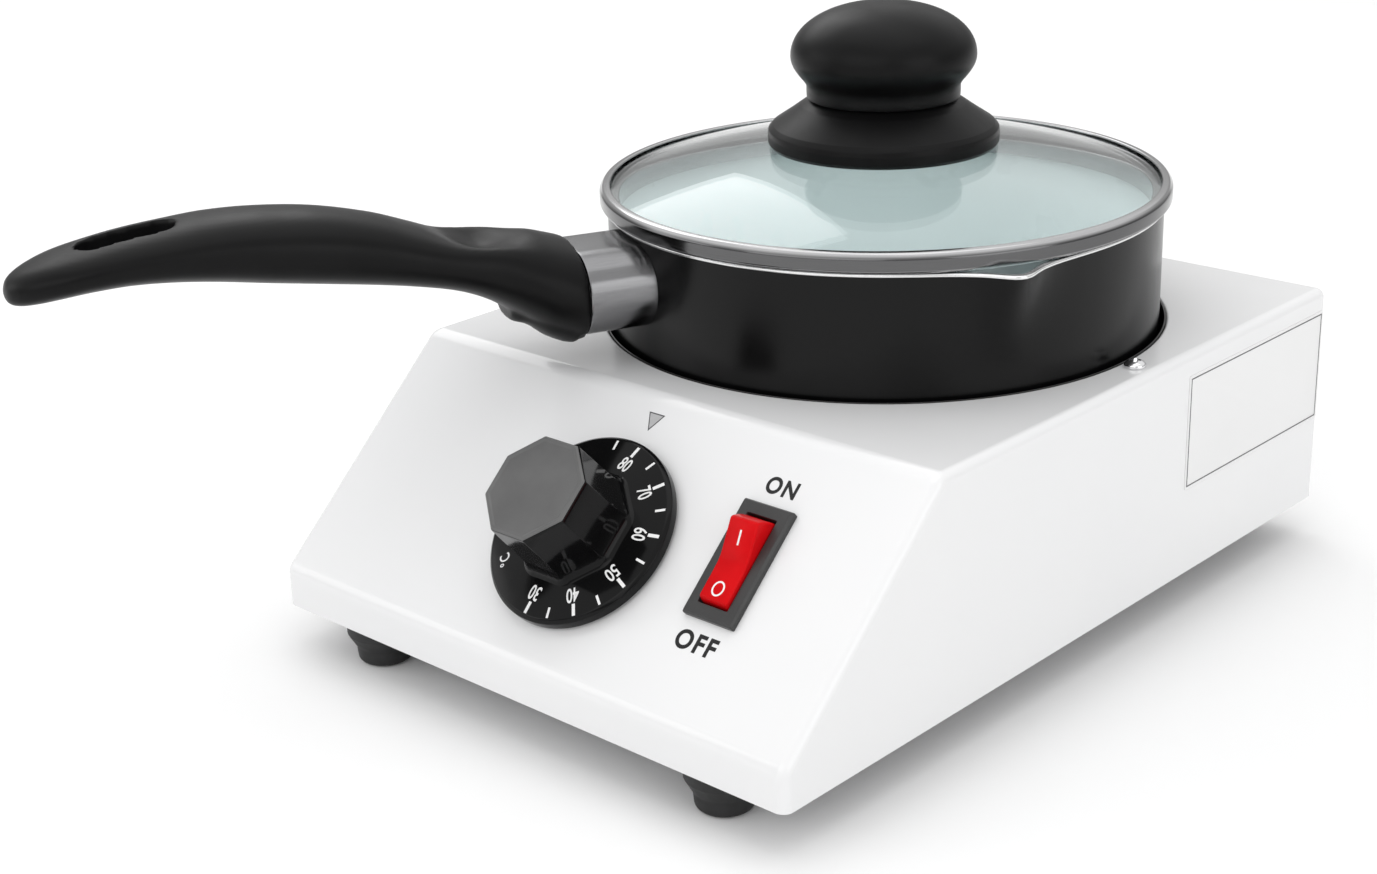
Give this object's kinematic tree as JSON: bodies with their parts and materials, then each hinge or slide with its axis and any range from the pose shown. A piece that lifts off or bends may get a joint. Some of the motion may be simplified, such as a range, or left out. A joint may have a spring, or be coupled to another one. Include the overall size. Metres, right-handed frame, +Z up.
{
  "type": "wax warmer pot",
  "caption": "Tabletop wax warmer: white folded case with sloping dial and rocker panel, heated well, lift-out black pan with a long handle, and a glass lid.",
  "frame": {"origin": "centre of the whole object's box, handle included, on the surface the feet stand on", "axes": "+Z up, +Y towards the back panel with the mains inlet, +X to the right as seen from the front control panel"},
  "size_m": [0.1866, 0.3054, 0.1546],
  "materials": {
    "white_powder_coat": "gloss white powder coat",
    "plain_steel": "mill finish",
    "black_rubber": "matt",
    "zinc_steel": "zinc plated",
    "black_coated_metal": "satin black",
    "bright_steel": "bright",
    "mica_element": "matt mica",
    "fibre_pad": "soft white fibre",
    "ceramic": "glazed",
    "copper_tube": "drawn copper",
    "switch_black": "fine matt",
    "brass": "turned",
    "dial_black": "gloss black moulding",
    "rocker_red": "glossy red, slightly see-through",
    "pale_nylon": "natural nylon",
    "wire_sleeve": "soft sleeve",
    "label_film": "satin film, blank",
    "pan_coating": "semi-gloss black outside, pale blue-grey non-stick inside",
    "brushed_steel": "brushed",
    "bakelite": "satin black phenolic",
    "clear_glass": "clear tempered glass"
  },
  "bodies": {
    "base": {"body_shell": "white_powder_coat", "base_plate": "plain_steel", "feet": "black_rubber", "foot_screws": "zinc_steel", "foot_nuts": "zinc_steel", "base_screws": "zinc_steel", "heater_well": "black_coated_metal", "well_screws": "bright_steel", "well_nuts": "zinc_steel", "heating_element": "mica_element", "insulation_pad": "fibre_pad", "clamp_plate": "plain_steel", "clamp_nut": "zinc_steel", "thermal_fuse": "ceramic", "sensor_bulb": "copper_tube", "bulb_clip": "plain_steel", "capillary": "copper_tube", "thermostat_body": "switch_black", "thermostat_screws": "zinc_steel", "switch_housing": "switch_black", "switch_pivot": "zinc_steel", "switch_terminals": "brass", "cable_gland": "switch_black", "gland_nut": "switch_black", "terminal_block": "pale_nylon", "terminal_screws": "zinc_steel", "earth_stud": "brass", "wiring": "wire_sleeve", "side_label": "label_film"},
    "dial": {"thermostat_shaft": "brass", "dial_insert": "brass", "dial_knob": "dial_black"},
    "rocker": {"switch_rocker": "rocker_red"},
    "pot": {"pot_shell": "pan_coating", "handle_bracket": "plain_steel", "handle_ferrule": "brushed_steel", "handle_grip": "bakelite", "handle_screw": "zinc_steel"},
    "lid": {"lid_glass": "clear_glass", "lid_ring": "brushed_steel", "knob_base": "bakelite", "lid_knob": "bakelite", "knob_washer": "black_rubber", "knob_screw": "zinc_steel"}
  },
  "joints": [
    {"name": "dial_turn", "type": "hinge", "parent": "base", "child": "dial", "pos_m": [0.01011, -0.06368, 0.04504], "axis": [0, -0.6763, 0.7366], "range_deg": [-5, 215]},
    {"name": "switch_tilt", "type": "hinge", "parent": "base", "child": "rocker", "pos_m": [0.05561, -0.05887, 0.04809], "axis": [1, 0, 0], "range_deg": [-23.4, 0]},
    {"name": "pot_lift", "type": "slide", "parent": "base", "child": "pot", "axis": [0, 0, 1], "range_m": [0, 0.06]},
    {"name": "lid_lift", "type": "slide", "parent": "pot", "child": "lid", "axis": [0, 0, 1], "range_m": [0, 0.05]}
  ]
}
